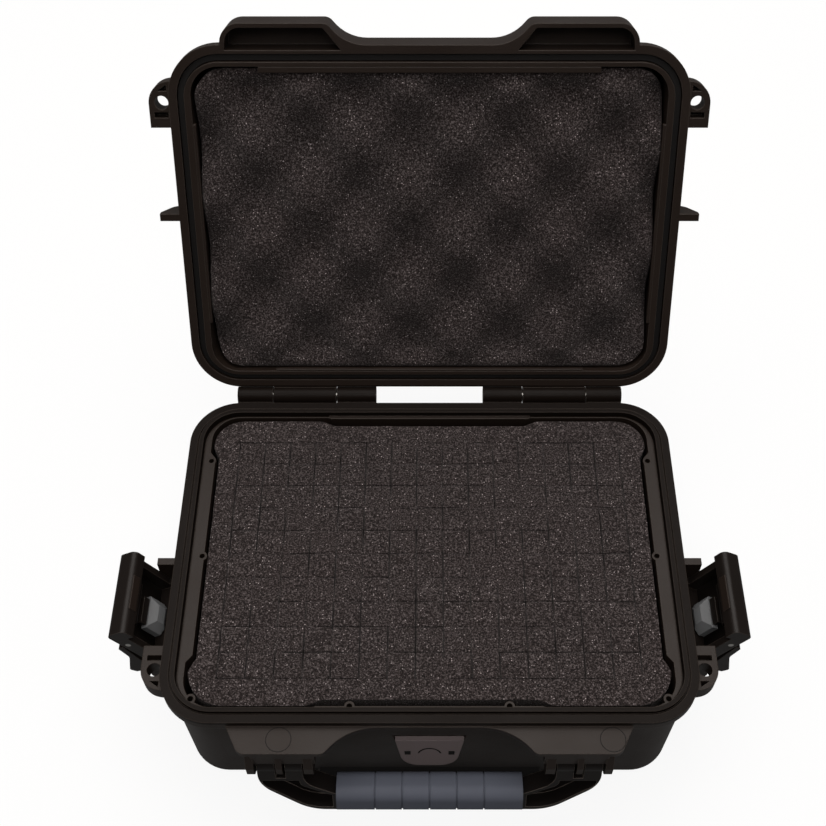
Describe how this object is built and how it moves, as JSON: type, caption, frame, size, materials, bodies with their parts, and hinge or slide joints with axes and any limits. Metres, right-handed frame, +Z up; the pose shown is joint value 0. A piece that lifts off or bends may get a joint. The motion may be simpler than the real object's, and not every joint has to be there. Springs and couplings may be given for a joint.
{
  "type": "hard case",
  "caption": "Small moulded hard case, open: hinged lid with egg-crate foam, side latches, front carrying handle, pressure valve and pick-and-pluck foam in the base",
  "frame": {"origin": "middle of the base's underside", "axes": "+Z up, -Y to the front with the handle, +X to the right"},
  "size_m": [0.2878, 0.3046, 0.2406],
  "materials": {
    "case_resin": "moulded black resin, fine texture",
    "latch_resin": "moulded black resin, satin",
    "handle_resin": "moulded black resin, satin",
    "grip_grey": "slate grey overmould, matt",
    "slider_grey": "grey moulding, satin",
    "valve_grey": "dark grey moulding, satin",
    "membrane": "breathing membrane",
    "gasket": "moulded ring, matt",
    "pin_steel": "drawn rod",
    "foam": "charcoal open-cell foam"
  },
  "bodies": {
    "base": {"base_shell": "case_resin", "base_foam_upper": "foam", "base_foam_lower": "foam", "base_foam_pad": "foam", "valve_cover": "valve_grey", "valve_membrane": "membrane", "valve_retainer": "valve_grey", "hinge_pin_left": "pin_steel", "hinge_pin_right": "pin_steel", "handle_pin_left": "pin_steel", "handle_pin_right": "pin_steel", "latch_pin_left": "pin_steel", "latch_pin_right": "pin_steel"},
    "lid": {"lid_shell": "case_resin", "lid_gasket": "gasket", "lid_foam": "foam"},
    "handle": {"handle_frame": "handle_resin", "handle_grip": "grip_grey"},
    "claw_left": {"latch_claw_left": "latch_resin", "lever_pin_left": "pin_steel"},
    "lever_left": {"latch_lever_left": "latch_resin"},
    "slider_left": {"latch_slider_left": "slider_grey"},
    "claw_right": {"latch_claw_right": "latch_resin", "lever_pin_right": "pin_steel"},
    "lever_right": {"latch_lever_right": "latch_resin"},
    "slider_right": {"latch_slider_right": "slider_grey"}
  },
  "joints": [
    {"name": "lid_hinge", "type": "hinge", "parent": "base", "child": "lid", "pos_m": [0, 0.09065, 0.075], "axis": [1, 0, 0], "range_deg": [0, 117]},
    {"name": "handle_swing", "type": "hinge", "parent": "base", "child": "handle", "pos_m": [0, -0.0945, 0.0545], "axis": [-1, 0, 0], "range_deg": [0, 80]},
    {"name": "claw_left", "type": "hinge", "parent": "base", "child": "claw_left", "pos_m": [-0.123, -0.0272, 0.052], "axis": [0, 1, 0], "range_deg": [0, 30]},
    {"name": "lever_left", "type": "hinge", "parent": "claw_left", "child": "lever_left", "pos_m": [-0.13656, -0.0272, 0.07189], "axis": [0, -1, 0], "range_deg": [-35.4, 8]},
    {"name": "slider_left", "type": "slide", "parent": "claw_left", "child": "slider_left", "axis": [-0.5, 0, 0.866], "range_m": [0, 0.004]},
    {"name": "claw_right", "type": "hinge", "parent": "base", "child": "claw_right", "pos_m": [0.123, -0.0272, 0.052], "axis": [0, -1, 0], "range_deg": [0, 30]},
    {"name": "lever_right", "type": "hinge", "parent": "claw_right", "child": "lever_right", "pos_m": [0.13656, -0.0272, 0.07189], "axis": [0, 1, 0], "range_deg": [-35.4, 8]},
    {"name": "slider_right", "type": "slide", "parent": "claw_right", "child": "slider_right", "axis": [0.5, 0, 0.866], "range_m": [0, 0.004]}
  ]
}
